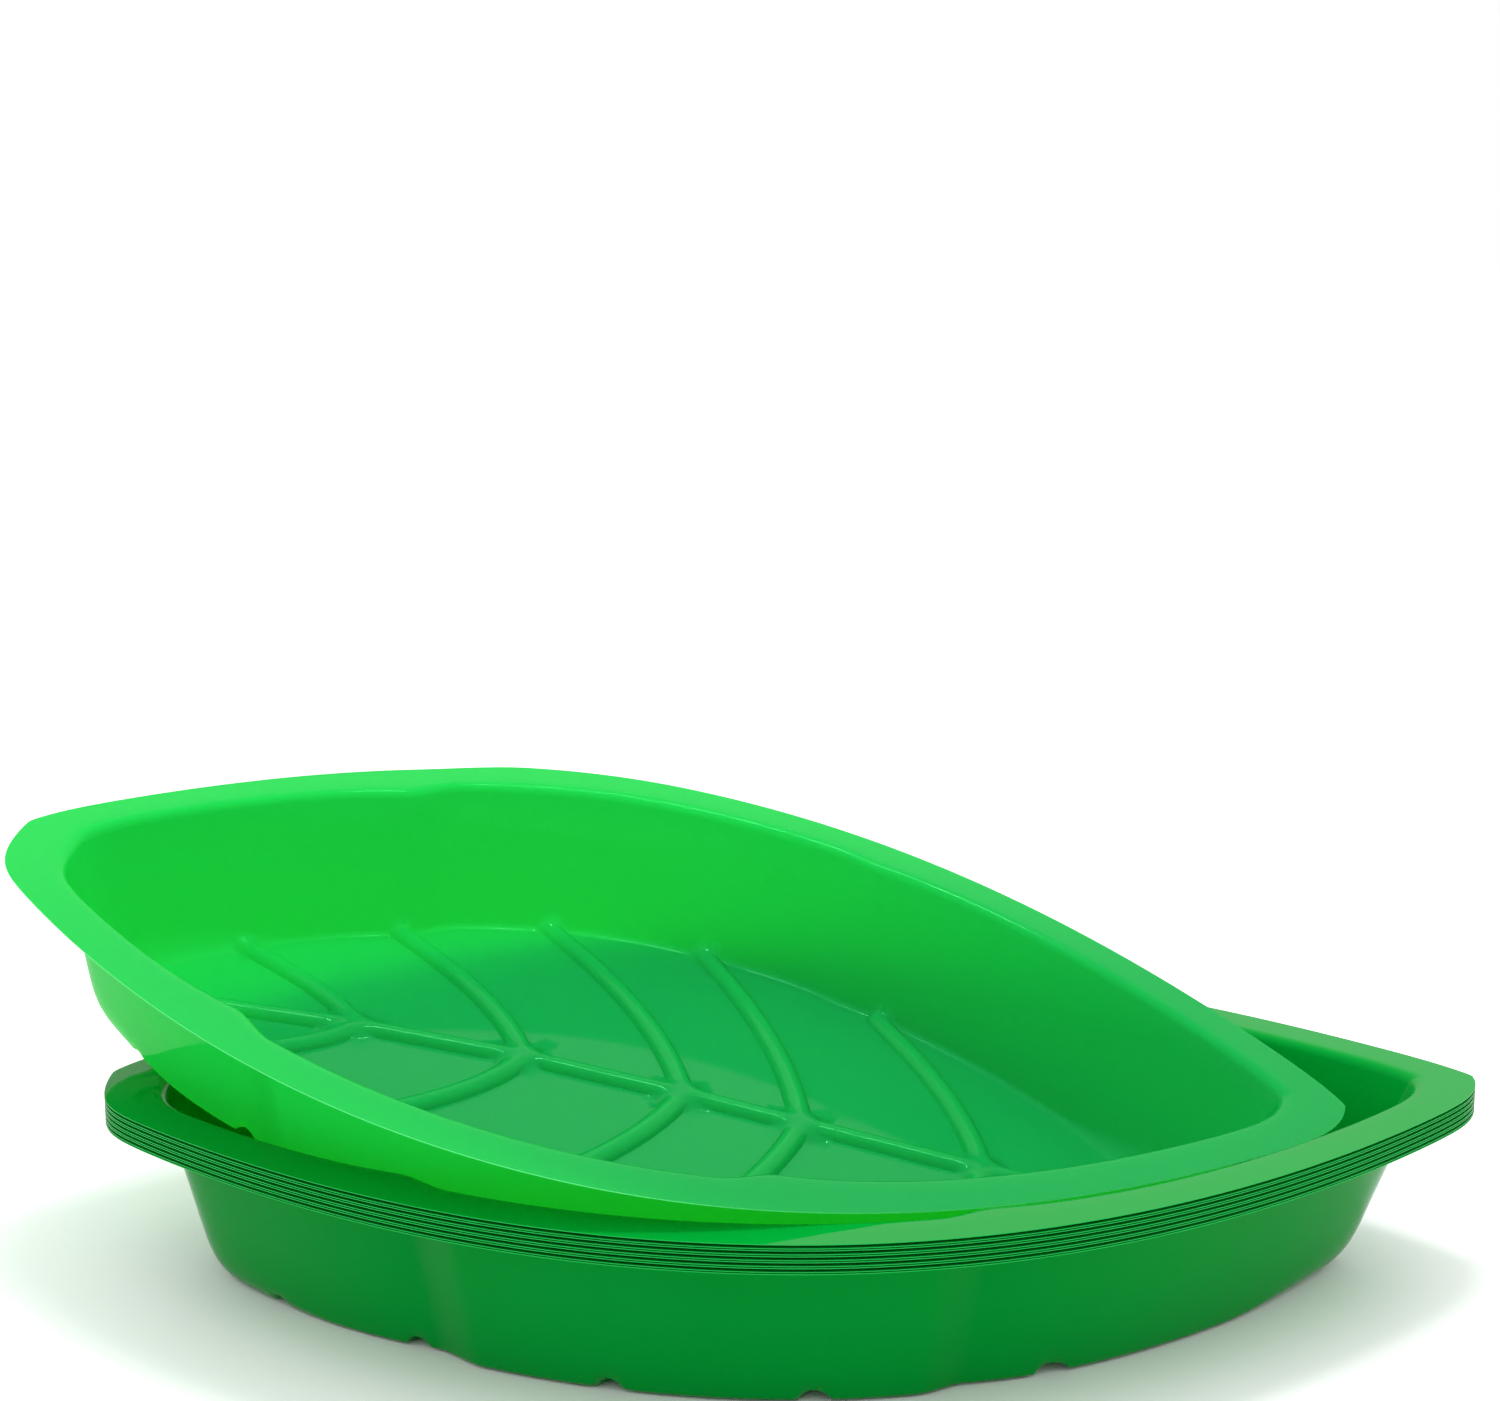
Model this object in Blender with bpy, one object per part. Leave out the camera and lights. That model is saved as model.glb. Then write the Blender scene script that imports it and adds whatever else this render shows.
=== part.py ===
"""A nesting set of leaf-shaped plastic trays: a stack of eleven with a twelfth lying askew on top.

Every tray is the same formed sheet: a flat rim, a sloping wall with three shallow lobes on each side,
and a flat floor with a raised midrib and five pairs of side ribs. Metres, +Z up. The leaf's tip points
to -X and its base to +X. The origin is on the surface the stack stands on, under the middle of the set.
"""

import math

import bmesh
import bpy
from mathutils import Euler, Matrix, Vector
from mathutils.geometry import delaunay_2d_cdt

# Rim outline, seen from above.
HALF_LENGTH = 0.1795
FRONT_WIDTH = 0.1148           # from the leaf's axis to the rim, on the -Y side
BACK_WIDTH = 0.1117            # the same on the +Y side
FRONT_FULLEST_X = 0.0          # each side is two half parabolas that meet where it is fullest
BACK_FULLEST_X = -0.018
FRONT_TIP_ARCH = 0.200         # from there to where the half parabola would meet the leaf's axis
FRONT_BASE_ARCH = 0.189
BACK_TIP_ARCH = 0.167
BACK_BASE_ARCH = 0.200
TIP_POWER = 60                 # higher gives tighter ends

# The tray's section, from the rim inwards.
SHEET = 0.0004                 # upright thickness of the formed sheet
DEPTH = 0.042
WELL_SCALE = (0.912, 0.912, 0.880)    # the mouth as a share of the rim: tip half's length, base half's, width
FLOOR_SCALE = (0.850, 0.818, 0.785)   # the floor, the same way

# Lobes: the wall steps in at both ends of its middle lobe and runs back out from there.
TIP_NOTCH_X = -0.095
BASE_NOTCH_X = 0.043
NOTCH_WIDTH = 0.010
NOTCH_FADE = 0.026
TIP_NOTCH_DEPTH = 0.0052
FRONT_BASE_NOTCH_DEPTH = 0.0040
BACK_BASE_NOTCH_DEPTH = 0.0016

# Ribs on the floor, raised into the well.
RIB_HEIGHT = 0.0025
RIB_HALF_WIDTH = 0.0038
MIDRIB = [(0.140, -0.002), (0.092, 0.000), (0.009, 0.005), (-0.036, 0.006), (-0.083, 0.003), (-0.140, -0.005)]
SIDE_RIB_ROOTS = [0.092, 0.042, 0.009, -0.036, -0.083]
BACK_RIB_ENDS = [(0.059, 0.063), (0.002, 0.082), (-0.043, 0.078), (-0.083, 0.057), (-0.118, 0.029)]
FRONT_RIB_ENDS = [(0.066, -0.067), (0.009, -0.083), (-0.039, -0.079), (-0.084, -0.054), (-0.121, -0.031)]
BACK_RIB_BEND = 0.25           # how far along its run a side rib still leaves squarely
FRONT_RIB_BEND = 0.15
RIB_STEPS = 3

# The stack.
NESTED = 11
PITCH = 0.0007                 # height each nested tray adds

# The loose tray's place: its rim centre above the top nested rim, turned and tipped.
LOOSE_SHIFT = Vector((-0.0327, 0.0070, 0.0291))
LOOSE_TIP_BACK = math.radians(10.6)      # about X, far side up
LOOSE_TIP_SIDE = math.radians(8.4)       # about Y, leaf tip up
LOOSE_TURN = math.radians(-8.5)          # about Z

STATIONS = 20                  # points along each side of the outline

GREEN = (0.010, 0.330, 0.065, 1.0)
LOOSE_GREEN = (0.025, 0.480, 0.085, 1.0)


def clear_scene():
    for thing in list(bpy.data.objects):
        bpy.data.objects.remove(thing)


def plastic(name, colour):
    material = bpy.data.materials.new(name)
    material.use_nodes = True
    shader = material.node_tree.nodes["Principled BSDF"]
    shader.inputs["Base Color"].default_value = colour
    shader.inputs["Roughness"].default_value = 0.22
    shader.inputs["Metallic"].default_value = 0.0
    return material


def side_stations():
    """Places along the leaf, -1 at the tip to 1 at the base, close together at both ends and at the notches."""
    spread = [-math.cos(math.pi * k / STATIONS) for k in range(STATIONS + 1)]
    corners = []
    for notch in (TIP_NOTCH_X, BASE_NOTCH_X):
        corners += [(notch - NOTCH_WIDTH / 2) / HALF_LENGTH, (notch + NOTCH_WIDTH / 2) / HALF_LENGTH]
    apart = 0.6 * NOTCH_WIDTH / HALF_LENGTH
    kept = [s for s in spread if min(abs(s - c) for c in corners) > apart]
    return sorted(kept + corners)


def notch_inset(x, base_depth):
    """How far the wall stands in from the smooth outline, at x along the leaf."""
    past_tip_notch = (TIP_NOTCH_X - NOTCH_WIDTH / 2 - x) / NOTCH_FADE
    past_base_notch = (x - BASE_NOTCH_X - NOTCH_WIDTH / 2) / NOTCH_FADE
    inset = 0.0
    if past_tip_notch > -NOTCH_WIDTH / NOTCH_FADE:
        step = min(1.0, 1.0 + past_tip_notch * NOTCH_FADE / NOTCH_WIDTH)
        inset += TIP_NOTCH_DEPTH * step * math.exp(-max(0.0, past_tip_notch))
    if past_base_notch > -NOTCH_WIDTH / NOTCH_FADE:
        step = min(1.0, 1.0 + past_base_notch * NOTCH_FADE / NOTCH_WIDTH)
        inset += base_depth * step * math.exp(-max(0.0, past_base_notch))
    return inset


def leaf_outline(scale, notched):
    """The closed outline, from the tip along the -Y side to the base and back along the +Y side."""
    sides = (
        (-1, FRONT_WIDTH, FRONT_FULLEST_X, FRONT_TIP_ARCH, FRONT_BASE_ARCH, FRONT_BASE_NOTCH_DEPTH),
        (1, BACK_WIDTH, BACK_FULLEST_X, BACK_TIP_ARCH, BACK_BASE_ARCH, BACK_BASE_NOTCH_DEPTH),
    )
    points = []
    for sign, width, fullest_x, tip_arch, base_arch, base_depth in sides:
        stations = side_stations()
        if sign > 0:
            stations = stations[::-1]
        for s in stations[:-1]:
            x = s * HALF_LENGTH
            rounding = math.sqrt(1.0 - abs(s) ** TIP_POWER)
            arch = tip_arch if x < fullest_x else base_arch
            y = width * (1.0 - ((x - fullest_x) / arch) ** 2) * rounding
            if notched:
                y = max(0.0, y - notch_inset(x, base_depth))
            along = scale[0] if x < 0 else scale[1]
            points.append(Vector((x * along, sign * y * scale[2])))
    return points


def midrib_y(x):
    for (x0, y0), (x1, y1) in zip(MIDRIB, MIDRIB[1:]):
        if x1 <= x <= x0:
            return y0 + (y1 - y0) * (x - x0) / (x1 - x0)
    return 0.0


def rib_paths():
    """The ribs' centre lines on the floor: the midrib, then a curved rib from each root to each end."""
    paths = [[Vector(p) for p in MIDRIB]]
    for ends, bend_share in ((BACK_RIB_ENDS, BACK_RIB_BEND), (FRONT_RIB_ENDS, FRONT_RIB_BEND)):
        for root_x, end in zip(SIDE_RIB_ROOTS, ends):
            root = Vector((root_x, midrib_y(root_x)))
            end = Vector(end)
            bend = Vector((root.x + bend_share * (end.x - root.x), (root.y + end.y) / 2))
            steps = [k / RIB_STEPS for k in range(RIB_STEPS + 1)]
            paths.append([root * (1 - t) ** 2 + bend * 2 * t * (1 - t) + end * t * t for t in steps])
    return paths


def distance_to_path(point, path):
    nearest = 1.0
    for a, b in zip(path, path[1:]):
        run = b - a
        t = max(0.0, min(1.0, (point - a).dot(run) / run.length_squared))
        nearest = min(nearest, (point - a - run * t).length)
    return nearest


def rib_rise(point, paths):
    gap = min(distance_to_path(point, path) for path in paths)
    return RIB_HEIGHT * max(0.0, 1.0 - gap / RIB_HALF_WIDTH)


def side_line(path, offset):
    """A line beside a path, at the given distance, cut square at both ends."""
    line = []
    for k, point in enumerate(path):
        run = path[min(k + 1, len(path) - 1)] - path[max(k - 1, 0)]
        line.append(point + Vector((-run.y, run.x)).normalized() * offset)
    return line


def tray_mesh():
    """One tray about its rim's centre: plan lines are triangulated, lifted to height, and given thickness."""
    rings = [
        (leaf_outline((1.0, 1.0, 1.0), False), 0.0),
        (leaf_outline(WELL_SCALE, True), 0.0),
        (leaf_outline(FLOOR_SCALE, True), -DEPTH),
    ]
    sheet = bmesh.new()
    loops = []
    for outline, height in rings:
        loops.append([sheet.verts.new((p.x, p.y, height)) for p in outline])
    count = len(loops[0])
    for outer, inner in zip(loops, loops[1:]):
        for k in range(count):
            after = (k + 1) % count
            sheet.faces.new((outer[k], outer[after], inner[after], inner[k]))

    edge = rings[-1][0]
    paths = rib_paths()
    plan = list(edge)
    lines = [(k, (k + 1) % count) for k in range(count)]
    for path in paths:
        for line in (side_line(path, -RIB_HALF_WIDTH), path, side_line(path, RIB_HALF_WIDTH)):
            first = len(plan)
            plan += line
            lines += [(first + k, first + k + 1) for k in range(len(line) - 1)]
    boundary = [list(range(count))]
    found, _, faces, origins, _, _ = delaunay_2d_cdt(plan, lines, boundary, 1, 1e-5)
    floor = []
    for point, sources in zip(found, origins):
        ring_places = [k for k in sources if k < count]
        if ring_places:
            floor.append(loops[-1][ring_places[0]])
        else:
            floor.append(sheet.verts.new((point.x, point.y, rib_rise(point, paths) - DEPTH)))
    for face in faces:
        sheet.faces.new([floor[k] for k in face])

    upper = list(sheet.faces)
    made = bmesh.ops.extrude_face_region(sheet, geom=upper)
    lowered = [item for item in made["geom"] if isinstance(item, bmesh.types.BMVert)]
    bmesh.ops.translate(sheet, verts=lowered, vec=(0.0, 0.0, -SHEET))
    bmesh.ops.recalc_face_normals(sheet, faces=sheet.faces)
    mesh = bpy.data.meshes.new("tray")
    sheet.to_mesh(mesh)
    sheet.free()
    mesh.shade_smooth()
    mesh.set_sharp_from_angle(angle=math.radians(30))
    return mesh


def place_tray(name, mesh, material, collection, place):
    tray = bpy.data.objects.new(name, mesh)
    tray.matrix_world = place
    tray.data.materials.clear()
    tray.data.materials.append(material)
    collection.objects.link(tray)
    return tray


def build():
    clear_scene()
    collection = bpy.data.collections.new("leaf_tray_set")
    bpy.context.scene.collection.children.link(collection)
    mesh = tray_mesh()
    green = plastic("stack_green", GREEN)
    for k in range(NESTED):
        rim_height = DEPTH + SHEET + k * PITCH
        place_tray(f"tray_{k + 1:02d}", mesh, green, collection, Matrix.Translation((0, 0, rim_height)))
    top_rim = DEPTH + SHEET + (NESTED - 1) * PITCH
    tilt = Euler((LOOSE_TIP_BACK, LOOSE_TIP_SIDE, 0.0)).to_matrix() @ Euler((0.0, 0.0, LOOSE_TURN)).to_matrix()
    place = Matrix.Translation(LOOSE_SHIFT + Vector((0, 0, top_rim))) @ tilt.to_4x4()
    place_tray("loose_tray", mesh.copy(), plastic("loose_green", LOOSE_GREEN), collection, place)


build()
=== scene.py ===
"""Looks of the leaf-shaped serving trays: fine formed-sheet meshes, green plastic, studio and camera.

Each tray's mesh repeats the part's own outline, section and ribs, with rounded folds and finer steps.
Metres, +Z up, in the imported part's frame: the leaf's tip points to -X and its base to +X.
"""

import math

import bpy
import numpy as np
from mathutils import Euler, Matrix, Vector
from mathutils.geometry import delaunay_2d_cdt


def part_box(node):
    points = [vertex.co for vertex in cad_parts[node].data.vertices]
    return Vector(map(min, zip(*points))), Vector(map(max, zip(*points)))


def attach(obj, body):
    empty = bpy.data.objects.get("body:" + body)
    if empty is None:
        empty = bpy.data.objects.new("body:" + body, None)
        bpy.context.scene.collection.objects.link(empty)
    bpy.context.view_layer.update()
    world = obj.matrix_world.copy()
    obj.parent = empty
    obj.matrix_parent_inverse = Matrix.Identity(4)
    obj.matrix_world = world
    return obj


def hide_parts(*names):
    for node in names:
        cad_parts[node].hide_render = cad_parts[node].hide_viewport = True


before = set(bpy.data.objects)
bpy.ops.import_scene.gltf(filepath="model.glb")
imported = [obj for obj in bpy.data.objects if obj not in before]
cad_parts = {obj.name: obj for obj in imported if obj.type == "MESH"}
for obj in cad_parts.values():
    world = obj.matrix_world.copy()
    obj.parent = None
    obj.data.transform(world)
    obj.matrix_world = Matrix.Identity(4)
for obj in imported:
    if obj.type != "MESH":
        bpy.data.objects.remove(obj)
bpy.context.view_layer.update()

# Rim outline, as in the part, a fraction of a millimetre inside it.
HALF_LENGTH = 0.1790
FRONT_WIDTH = 0.1148
BACK_WIDTH = 0.1113
FRONT_FULLEST_X = 0.0
BACK_FULLEST_X = -0.018
FRONT_TIP_ARCH = 0.200
FRONT_BASE_ARCH = 0.189
BACK_TIP_ARCH = 0.167
BACK_BASE_ARCH = 0.200
TIP_POWER = 60

# Section, as in the part, and the roundings of its two folds as shares of the runs beside them.
SHEET = 0.0004
CUT_EDGE = 0.00022             # the sheet thins to this at the rim's cut edge
DEPTH = 0.042
WELL_SCALE = (0.912, 0.912, 0.880)
FLOOR_SCALE = (0.850, 0.818, 0.785)
MOUTH_ROUND_FLANGE = 0.22
MOUTH_ROUND_WALL = 0.06
FOOT_ROUND_WALL = 0.04
FOOT_ROUND_FLOOR = 0.16
END_ROUND_WALL = 0.26          # at the leaf's two ends the foot is rounded more
END_ROUND_FLOOR = 0.50
ENDS_FROM = 0.74               # shares of the half length between which that sets in
ENDS_TO = 0.96
FOLD_STEPS = 7
WALL_RINGS = (0.30, 0.60, 0.80, 0.90)  # rings down the straight part of the wall, as shares of it

# Lobes: the wall steps in at both ends of its middle lobe and runs back out from there.
TIP_NOTCH_X = -0.095
BASE_NOTCH_X = 0.043
NOTCH_WIDTH = 0.014
NOTCH_FADE = 0.026
TIP_NOTCH_DEPTH = 0.0052
FRONT_BASE_NOTCH_DEPTH = 0.0040
BACK_BASE_NOTCH_DEPTH = 0.0016

# The far side's rim steps in a little too, from its middle lobe to its tip lobe.
RIM_STEP_X = -0.080
RIM_STEP_WIDTH = 0.030
BACK_RIM_STEP = 0.0028
FRONT_RIM_STEP = 0.0

# Ribs on the floor.
RIB_HEIGHT = 0.0025
RIB_HALF_WIDTH = 0.0034
RIB_FULLNESS = 0.70            # 1 is a parabola across the rib, 0.5 half an ellipse
MIDRIB = [
    (0.140, -0.002), (0.092, 0.000), (0.009, 0.005),
    (-0.036, 0.006), (-0.083, 0.003), (-0.140, -0.005),
]
SIDE_RIB_ROOTS = [0.092, 0.042, 0.009, -0.036, -0.083]
BACK_RIB_ENDS = [(0.059, 0.063), (0.002, 0.082), (-0.043, 0.078), (-0.083, 0.057), (-0.118, 0.029)]
FRONT_RIB_ENDS = [(0.066, -0.067), (0.009, -0.083), (-0.039, -0.079), (-0.084, -0.054), (-0.121, -0.031)]
BACK_RIB_BEND = 0.25
FRONT_RIB_BEND = 0.15
RIB_STEPS = 30
RIB_RUN_ON = 0.009             # how far a rib runs on past its end, into the wall's foot
RIB_CLIMB = 1.6                # a rib fades out over this many rib heights up the foot
JOINT_FILLET = 0.0040          # reach of the fillets where ribs meet

# Fineness of the mesh.
STATIONS = 400                 # steps along each side of the outline
RIB_LINES = (0.3, 0.55, 0.75, 0.9, 1.02)  # lines of points along a rib, as shares of its half width
RIB_LINE_STEP = 0.0022         # spacing of the points along them
FLOOR_STEP = 0.0050            # spacing of the flat floor's own points
RIB_CLEAR = 0.0052             # the flat floor's points keep this far from a rib's centre line
EDGE_CLEAR = 0.0009            # and every point keeps this far from the floor's edge
SHARP_ABOVE = math.radians(40)  # edges where the faces turn more than this are shaded sharp
SAME_POINT = 1e-6              # points nearer than this are one point
TINY = 1e-12                   # keeps a division off zero
FAR_AWAY = 1.0                 # longer than any distance on the tray

# Every second nested tray sits this much lower than in the part, nearly on the tray below it.
SETTLED = 0.00022

# The loose tray's place, as in the part but a hair lower, so that it stays inside the part's box.
LOOSE_SHIFT = Vector((-0.0327, 0.0070, 0.02908))
LOOSE_TIP_BACK = math.radians(10.6)
LOOSE_TIP_SIDE = math.radians(8.4)
LOOSE_TURN = math.radians(-8.5)

# The camera, at the photograph's viewing angle.
CAMERA_PLACE = Vector((-0.0052, -0.6898, 0.2875))
CAMERA_TURN = (math.radians(78.71), 0.0, math.radians(0.47))
LENS = 65.93
SENSOR = 36.0

# The plastic: two body colours that drift into each other, the colour of light that comes through,
# and the share of light that does. The sheet's cut edge at the rim is painted paler, a painted highlight
# where light catches the rim's edges.
# the nested trays are the loose tray's plastic painted darker, as painted shade inside the stack, and
# let less light through
NESTED_SHADED_COLOURS = ((0.000, 0.290, 0.028), (0.000, 0.325, 0.038), (0.000, 0.300, 0.020))
NESTED_EDGE_HIGHLIGHT_COLOURS = ((0.010, 0.480, 0.070), (0.030, 0.540, 0.100), (0.020, 0.500, 0.070))
NESTED_THROUGH = 0.20
LOOSE_COLOURS = ((0.012, 0.575, 0.155), (0.022, 0.615, 0.175), (0.100, 0.770, 0.130))
LOOSE_EDGE_HIGHLIGHT_COLOURS = ((0.120, 0.800, 0.260), (0.160, 0.840, 0.300), (0.120, 0.800, 0.250))
LOOSE_THROUGH = 0.70
GLOSS_TINT = (0.10, 0.90, 0.30)        # face-on reflections take this green, grazing ones stay white
NESTED_IOR = 1.22
LOOSE_IOR = 1.45

# Noises over the plastic. A scale is about the number of blotches in a metre.
DRIFT_SCALE = 14.0             # the slow drift of the colour
DRIFT_DETAIL = 2.0
WAVES_SCALE = 26.0             # the faint waviness of the surface
WAVES_DETAIL = 1.0
WAVES_STRENGTH = 0.12
WAVES_HEIGHT = 0.0006
GLOSS_SCALE = 60.0             # the uneven gloss
GLOSS_DETAIL = 3.0
SMOOTHEST = 0.03
ROUGHEST = 0.08

# The studio.
HORIZON_LIGHT = 0.50           # the studio's walls as a light, down at the horizon
OVERHEAD_LIGHT = 1.45          # and its ceiling; the camera sees both at 1
CEILING_FROM = 0.60            # the ceiling's light is full from this height on a unit sphere
SOFTBOX_PLACE = (0.0, 0.15, 1.1)
SOFTBOX_SIZE = (0.45, 0.10)
SOFTBOX_WATTS = 6.0
FLOOR_SIZE = 12.0
FLOOR_DROP = 0.0005            # the floor lies this far under the lowest tray's foot
FLOOR_SHADE = 0.9
FLOOR_ROUGHNESS = 0.9


def smooth_step(t):
    t = np.clip(t, 0.0, 1.0)
    return t * t * (3.0 - 2.0 * t)


def notch_inset(x, base_depth):
    """How far the wall stands in from the smooth outline, at x along the leaf."""
    past_tip = TIP_NOTCH_X + NOTCH_WIDTH / 2 - x
    past_base = x - BASE_NOTCH_X + NOTCH_WIDTH / 2
    inset = 0.0
    for past, depth in ((past_tip, TIP_NOTCH_DEPTH), (past_base, base_depth)):
        fade = np.exp(-np.clip(past - NOTCH_WIDTH, 0.0, None) / NOTCH_FADE)
        inset = inset + depth * smooth_step(past / NOTCH_WIDTH) * fade
    return inset


def leaf_outline(scale, height, notched):
    """The closed outline, from the tip along the -Y side to the base and back along the +Y side."""
    front = (-1, FRONT_WIDTH, FRONT_FULLEST_X, FRONT_TIP_ARCH, FRONT_BASE_ARCH)
    back = (1, BACK_WIDTH, BACK_FULLEST_X, BACK_TIP_ARCH, BACK_BASE_ARCH)
    sides = (
        front + (FRONT_BASE_NOTCH_DEPTH, FRONT_RIM_STEP),
        back + (BACK_BASE_NOTCH_DEPTH, BACK_RIM_STEP),
    )
    halves = []
    for sign, width, fullest_x, tip_arch, base_arch, base_depth, rim_step in sides:
        s = sign * np.cos(np.linspace(0.0, math.pi, STATIONS + 1))[:-1]
        x = s * HALF_LENGTH
        rounding = np.sqrt(np.clip(1.0 - np.abs(s) ** TIP_POWER, 0.0, None))
        arch = np.where(x < fullest_x, tip_arch, base_arch)
        y = width * (1.0 - ((x - fullest_x) / arch) ** 2) * rounding
        if notched:
            y = np.clip(y - notch_inset(x, base_depth), 0.0, None)
        else:
            y = y - rim_step * smooth_step((RIM_STEP_X - x) / RIM_STEP_WIDTH + 0.5) * rounding
        along = np.where(x < 0, scale[0], scale[1])
        halves.append(np.column_stack((x * along, sign * y * scale[2], np.full(len(x), height))))
    return np.vstack(halves)


def between(a, b, share):
    return a + (b - a) * share


def fold(before, corner, after):
    """Rings that round a corner, from one run's ring to the next run's."""
    steps = np.linspace(0.0, 1.0, FOLD_STEPS)
    return [before * (1 - t) ** 2 + corner * 2 * t * (1 - t) + after * t * t for t in steps]


def section_rings():
    rim = leaf_outline((1.0, 1.0, 1.0), 0.0, False)
    mouth = leaf_outline(WELL_SCALE, 0.0, True)
    foot = leaf_outline(FLOOR_SCALE, -DEPTH, True)
    end = smooth_step((np.abs(rim[:, :1]) / HALF_LENGTH - ENDS_FROM) / (ENDS_TO - ENDS_FROM))
    round_floor = between(FOOT_ROUND_FLOOR, END_ROUND_FLOOR, end)
    floor_edge = foot + (foot - mouth) * np.array((1.0, 1.0, 0.0)) * round_floor
    wall_top = between(mouth, foot, MOUTH_ROUND_WALL)
    wall_bottom = between(foot, mouth, between(FOOT_ROUND_WALL, END_ROUND_WALL, end))
    rings = [rim, between(rim, mouth, 0.5)]
    rings += fold(between(mouth, rim, MOUTH_ROUND_FLANGE), mouth, wall_top)
    rings += [between(wall_top, wall_bottom, share) for share in WALL_RINGS]
    rings += fold(wall_bottom, foot, floor_edge)
    return rings


def midrib_y(x):
    line = sorted(MIDRIB)
    return np.interp(x, [p[0] for p in line], [p[1] for p in line])


def run_on(path):
    """The path with its last point pushed on along its own direction."""
    last = path[-1] - path[-2]
    longer = path.copy()
    longer[-1] = path[-1] + last / np.linalg.norm(last) * RIB_RUN_ON
    return longer


def resample(path):
    """The same path with its points evenly spaced."""
    along = np.concatenate(([0.0], np.cumsum(np.linalg.norm(np.diff(path, axis=0), axis=1))))
    even = np.linspace(0.0, along[-1], int(along[-1] / RIB_LINE_STEP) + 1)
    return np.column_stack((np.interp(even, along, path[:, 0]), np.interp(even, along, path[:, 1])))


def rib_paths():
    midrib = np.array(MIDRIB)
    paths = [resample(run_on(run_on(midrib)[::-1]))]
    t = np.linspace(0.0, 1.0, RIB_STEPS)[:, None]
    for ends, bend_share in ((BACK_RIB_ENDS, BACK_RIB_BEND), (FRONT_RIB_ENDS, FRONT_RIB_BEND)):
        for root_x, end in zip(SIDE_RIB_ROOTS, ends):
            root = np.array((root_x, midrib_y(root_x)))
            end = np.array(end)
            bend = np.array((root_x + bend_share * (end[0] - root_x), (root[1] + end[1]) / 2))
            paths.append(resample(run_on(root * (1 - t) ** 2 + bend * 2 * t * (1 - t) + end * t * t)))
    return paths


def distance_to_lines(points, paths):
    """Each point's distance in plan to the nearest of the paths."""
    nearest = np.full(len(points), FAR_AWAY)
    for path in paths:
        for a, b in zip(path, path[1:]):
            run = b - a
            t = np.clip((points - a) @ run / (run @ run), 0.0, 1.0)
            away = points - a - t[:, None] * run
            nearest = np.minimum(nearest, np.hypot(away[:, 0], away[:, 1]))
    return nearest


def distance_with_fillets(points, paths):
    """Each point's distance in plan to the nearest path, a little less where two are about as near."""
    nearest = np.full(len(points), FAR_AWAY)
    for path in paths:
        other = distance_to_lines(points, [path])
        alike = np.clip(1.0 - np.abs(nearest - other) / JOINT_FILLET, 0.0, 1.0)
        nearest = np.minimum(nearest, other) - JOINT_FILLET / 4 * alike ** 2
    return nearest


def lift_ribs(points, paths):
    """The points raised to a rounded ridge where a rib passes, less and less as the foot climbs."""
    reach = np.clip(distance_with_fillets(points[:, :2], paths) / RIB_HALF_WIDTH, 0.0, None)
    rise = RIB_HEIGHT * np.clip(1.0 - reach ** 2, 0.0, None) ** RIB_FULLNESS
    climbed = (points[:, 2] + DEPTH) / (RIB_CLIMB * RIB_HEIGHT)
    lifted = points.copy()
    lifted[:, 2] += rise * (1.0 - smooth_step(climbed))
    return lifted


def well_inside(points, edge):
    """Which points lie inside the closed edge and clear of it."""
    inside = np.zeros(len(points), dtype=bool)
    for a, b in zip(edge, np.roll(edge, -1, axis=0)):
        crossing = (a[1] > points[:, 1]) != (b[1] > points[:, 1])
        at = a[0] + (b[0] - a[0]) * (points[:, 1] - a[1]) / (b[1] - a[1] + TINY)
        inside ^= crossing & (points[:, 0] < at)
    closed_edge = np.vstack((edge, edge[:1]))
    return inside & (distance_to_lines(points, [closed_edge]) > EDGE_CLEAR)


def rib_lines(edge, paths):
    """Points in lines along every rib, side by side across it, and the pairs that join them."""
    points = []
    pairs = []
    for path in paths:
        along = np.gradient(path, axis=0)
        across = np.column_stack((-along[:, 1], along[:, 0])) / np.linalg.norm(along, axis=1)[:, None]
        for share in (0.0,) + RIB_LINES + tuple(-share for share in RIB_LINES):
            line = path + across * share * RIB_HALF_WIDTH
            kept = well_inside(line, edge)
            first = len(points)
            points += list(line)
            for k in range(len(line) - 1):
                if kept[k] and kept[k + 1]:
                    pairs.append((first + k, first + k + 1))
    return np.array(points), pairs


def floor_points(edge, paths):
    """Points on a staggered grid over the flat floor, clear of the ribs."""
    low = edge.min(axis=0)
    high = edge.max(axis=0)
    row_height = FLOOR_STEP * math.sqrt(3) / 2
    rows = int((high[1] - low[1]) / row_height)
    columns = int((high[0] - low[0]) / FLOOR_STEP)
    j, i = np.mgrid[0:rows, 0:columns]
    x = low[0] + FLOOR_STEP * (i + 0.5 * (j % 2))
    y = low[1] + row_height * j
    grid = np.column_stack((x.ravel(), y.ravel()))
    return grid[well_inside(grid, edge) & (distance_to_lines(grid, paths) > RIB_CLEAR)]


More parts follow.
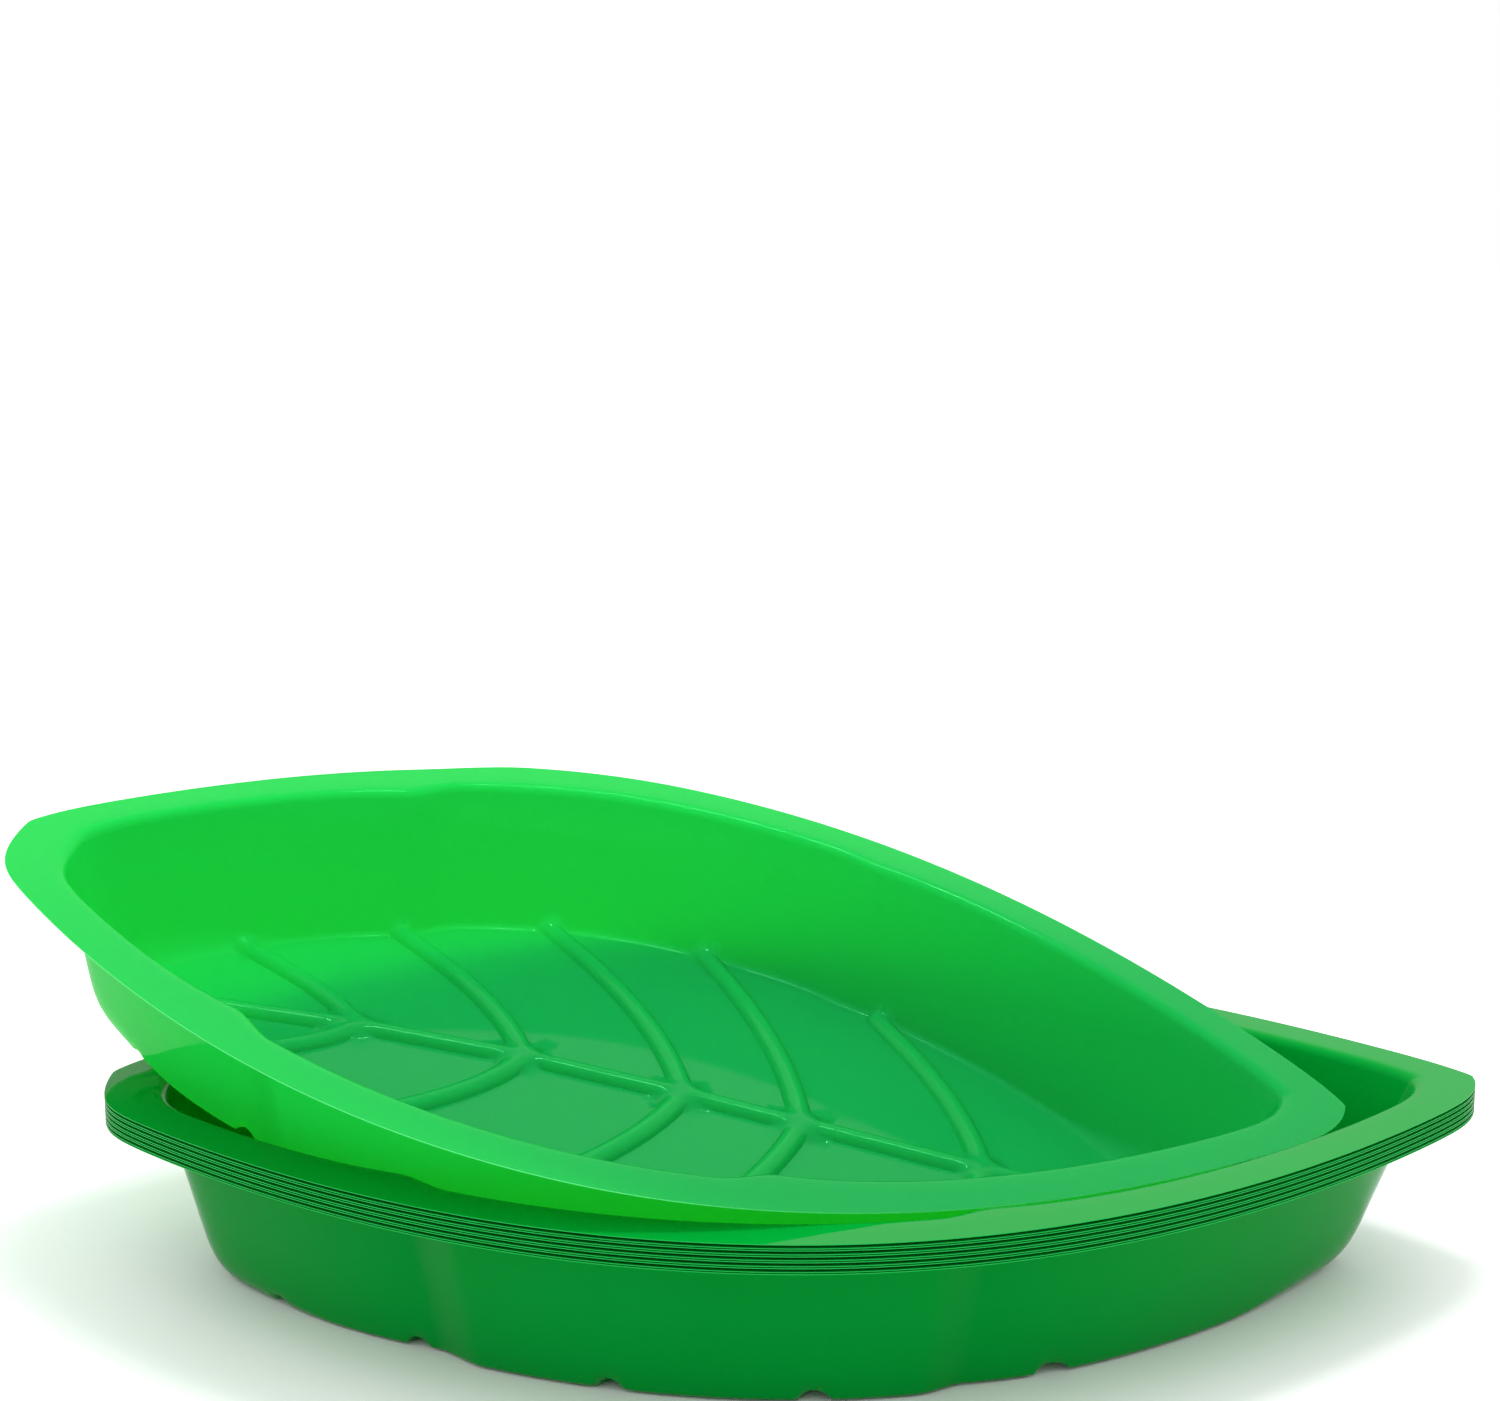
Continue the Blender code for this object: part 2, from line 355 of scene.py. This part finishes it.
def tray_mesh():
    """One tray about its rim's centre, as a closed sheet that thins at its cut edge."""
    rings = section_rings()
    paths = rib_paths()
    count = len(rings[0])
    faces = []
    for ring in range(len(rings) - 1):
        for k in range(count):
            after = (k + 1) % count
            outer = ring * count
            inner = outer + count
            faces.append((outer + k, outer + after, inner + after, inner + k))

    edge = rings[-1][:, :2]
    on_ribs, pairs = rib_lines(edge, paths)
    used = sorted({k for pair in pairs for k in pair})
    place = {k: count + n for n, k in enumerate(used)}
    plan = np.vstack((edge, on_ribs[used], floor_points(edge, paths)))
    lines = [(k, (k + 1) % count) for k in range(count)] + [(place[a], place[b]) for a, b in pairs]
    boundary = [list(range(count))]
    points = [Vector(point) for point in plan]
    found, _, triangles, origins, _, _ = delaunay_2d_cdt(points, lines, boundary, 1, SAME_POINT)
    first_floor = (len(rings) - 1) * count
    inner_points = []
    numbers = []
    for point, sources in zip(found, origins):
        on_edge = [k for k in sources if k < count]
        if on_edge:
            numbers.append(first_floor + on_edge[0])
        else:
            numbers.append(len(rings) * count + len(inner_points))
            inner_points.append((point.x, point.y, -DEPTH))
    faces += [tuple(numbers[k] for k in triangle) for triangle in triangles]

    upper = lift_ribs(np.vstack(rings + [np.array(inner_points)]), paths)
    lower = upper - np.array((0.0, 0.0, SHEET))
    lower[:count, 2] = upper[:count, 2] - CUT_EDGE
    total = len(upper)
    under = [tuple(total + k for k in reversed(face)) for face in faces]
    edge_strip = []
    for k in range(count):
        after = (k + 1) % count
        edge_strip.append((k, total + k, total + after, after))
    mesh = bpy.data.meshes.new("tray")
    mesh.from_pydata(np.vstack((upper, lower)).tolist(), [], faces + under + edge_strip)
    # the cut edge's faces take the second slot, whose paler plastic is a painted highlight along the rim
    painted_edge_highlight = [0] * len(faces + under) + [1] * len(edge_strip)
    mesh.polygons.foreach_set("material_index", painted_edge_highlight)
    mesh.shade_smooth()
    mesh.set_sharp_from_angle(angle=SHARP_ABOVE)
    return mesh


def opaque(colour):
    return (*colour, 1.0)


def add_noise(nodes, links, place, scale, detail):
    """A noise laid out in the tray's own metres, and its output."""
    noise = nodes.new("ShaderNodeTexNoise")
    noise.inputs["Scale"].default_value = scale
    noise.inputs["Detail"].default_value = detail
    links.new(place.outputs["Object"], noise.inputs["Vector"])
    return noise.outputs["Fac"]


def plastic(name, colour, light_colour, lit_through, through, ior):
    """Glossy formed sheet: a coloured body that lets some light through, under an uneven gloss."""
    material = bpy.data.materials.new(name)
    material.use_nodes = True
    nodes = material.node_tree.nodes
    links = material.node_tree.links
    shader = nodes["Principled BSDF"]
    output = nodes["Material Output"]
    place = nodes.new("ShaderNodeTexCoord")

    tint = nodes.new("ShaderNodeMix")
    tint.data_type = "RGBA"
    tint.inputs["A"].default_value = opaque(colour)
    tint.inputs["B"].default_value = opaque(light_colour)
    links.new(add_noise(nodes, links, place, DRIFT_SCALE, DRIFT_DETAIL), tint.inputs["Factor"])
    links.new(tint.outputs["Result"], shader.inputs["Base Color"])

    bump = nodes.new("ShaderNodeBump")
    bump.inputs["Strength"].default_value = WAVES_STRENGTH
    bump.inputs["Distance"].default_value = WAVES_HEIGHT
    links.new(add_noise(nodes, links, place, WAVES_SCALE, WAVES_DETAIL), bump.inputs["Height"])
    links.new(bump.outputs["Normal"], shader.inputs["Normal"])

    rough = nodes.new("ShaderNodeMapRange")
    rough.inputs["To Min"].default_value = SMOOTHEST
    rough.inputs["To Max"].default_value = ROUGHEST
    links.new(add_noise(nodes, links, place, GLOSS_SCALE, GLOSS_DETAIL), rough.inputs["Value"])
    links.new(rough.outputs["Result"], shader.inputs["Roughness"])
    shader.inputs["IOR"].default_value = ior
    shader.inputs["Specular Tint"].default_value = opaque(GLOSS_TINT)

    glow = nodes.new("ShaderNodeBsdfTranslucent")
    glow.inputs["Color"].default_value = opaque(lit_through)
    blend = nodes.new("ShaderNodeMixShader")
    blend.inputs["Fac"].default_value = through
    links.new(shader.outputs["BSDF"], blend.inputs[1])
    links.new(glow.outputs["BSDF"], blend.inputs[2])
    links.new(blend.outputs["Shader"], output.inputs["Surface"])
    return material


def add_tray(name, mesh, node, place):
    tray = bpy.data.objects.new(name, mesh)
    bpy.context.scene.collection.objects.link(tray)
    tray.matrix_world = place
    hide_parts(node)
    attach(tray, node)


def add_plastics(mesh, name, colours, edge_highlight_colours, through, ior):
    """The sheet's plastic in the mesh's first slot and its cut edge's in the second, painted paler as a
    highlight.
    """
    mesh.materials.append(plastic(f"{name}_plastic", *colours, through, ior))
    mesh.materials.append(plastic(f"{name}_painted_edge_highlight", *edge_highlight_colours, NESTED_THROUGH, ior))


def build_trays():
    mesh = tray_mesh()
    loose_mesh = mesh.copy()
    add_plastics(mesh, "nested_tray", NESTED_SHADED_COLOURS, NESTED_EDGE_HIGHLIGHT_COLOURS, NESTED_THROUGH, NESTED_IOR)
    add_plastics(loose_mesh, "loose_tray", LOOSE_COLOURS, LOOSE_EDGE_HIGHLIGHT_COLOURS, LOOSE_THROUGH, LOOSE_IOR)
    nested = sorted(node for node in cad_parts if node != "loose_tray")
    for number, node in enumerate(nested):
        rim_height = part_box(node)[1][2] - (number % 2) * SETTLED
        add_tray(f"{node}_sheet", mesh, node, Matrix.Translation((0, 0, rim_height)))
    top_rim = Vector((0, 0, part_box(nested[-1])[1][2]))
    turn = Euler((0.0, 0.0, LOOSE_TURN)).to_matrix()
    tilt = Euler((LOOSE_TIP_BACK, LOOSE_TIP_SIDE, 0.0)).to_matrix()
    place = Matrix.Translation(LOOSE_SHIFT + top_rim) @ (tilt @ turn).to_4x4()
    loose_mesh.transform(place)
    add_tray("loose_tray_sheet", loose_mesh, "loose_tray", Matrix())


def add_floor():
    bpy.ops.mesh.primitive_plane_add(size=FLOOR_SIZE, location=(0, 0, -FLOOR_DROP))
    floor = bpy.context.object
    floor.name = "studio_floor"
    material = bpy.data.materials.new("pale_floor")
    material.use_nodes = True
    shader = material.node_tree.nodes["Principled BSDF"]
    shader.inputs["Base Color"].default_value = opaque([FLOOR_SHADE] * 3)
    shader.inputs["Roughness"].default_value = FLOOR_ROUGHNESS
    floor.data.materials.append(material)


def add_softbox():
    """A long softbox over the trays, aimed at the middle of the lowest tray's foot."""
    light = bpy.data.lights.new("top_softbox", "AREA")
    light.shape = "RECTANGLE"
    light.size, light.size_y = SOFTBOX_SIZE
    light.energy = SOFTBOX_WATTS
    lamp = bpy.data.objects.new("top_softbox", light)
    lamp.location = SOFTBOX_PLACE
    lamp.rotation_euler = (-Vector(SOFTBOX_PLACE)).to_track_quat("-Z", "Y").to_euler()
    bpy.context.scene.collection.objects.link(lamp)


def add_studio():
    """A white studio whose ceiling lights the trays more than its walls do."""
    world = bpy.data.worlds.new("studio")
    world.use_nodes = True
    nodes = world.node_tree.nodes
    links = world.node_tree.links
    sky = nodes["Background"]
    sky.inputs["Color"].default_value = opaque((1.0, 1.0, 1.0))
    direction = nodes.new("ShaderNodeTexCoord")
    split = nodes.new("ShaderNodeSeparateXYZ")
    links.new(direction.outputs["Generated"], split.inputs["Vector"])
    climb = nodes.new("ShaderNodeMapRange")
    climb.inputs["From Max"].default_value = CEILING_FROM
    climb.inputs["To Min"].default_value = HORIZON_LIGHT
    climb.inputs["To Max"].default_value = OVERHEAD_LIGHT
    links.new(split.outputs["Z"], climb.inputs["Value"])
    path = nodes.new("ShaderNodeLightPath")
    strength = nodes.new("ShaderNodeMix")
    strength.inputs["B"].default_value = 1.0
    links.new(path.outputs["Is Camera Ray"], strength.inputs["Factor"])
    links.new(climb.outputs["Result"], strength.inputs["A"])
    links.new(strength.outputs["Result"], sky.inputs["Strength"])
    bpy.context.scene.world = world


def add_camera():
    camera = bpy.data.cameras.new("camera")
    camera.lens = LENS
    camera.sensor_width = SENSOR
    camera.sensor_fit = "HORIZONTAL"
    eye = bpy.data.objects.new("camera", camera)
    eye.location = CAMERA_PLACE
    eye.rotation_euler = CAMERA_TURN
    bpy.context.scene.collection.objects.link(eye)
    bpy.context.scene.camera = eye


add_camera()
build_trays()
add_floor()
add_studio()
add_softbox()
bpy.context.scene.view_settings.view_transform = "Standard"
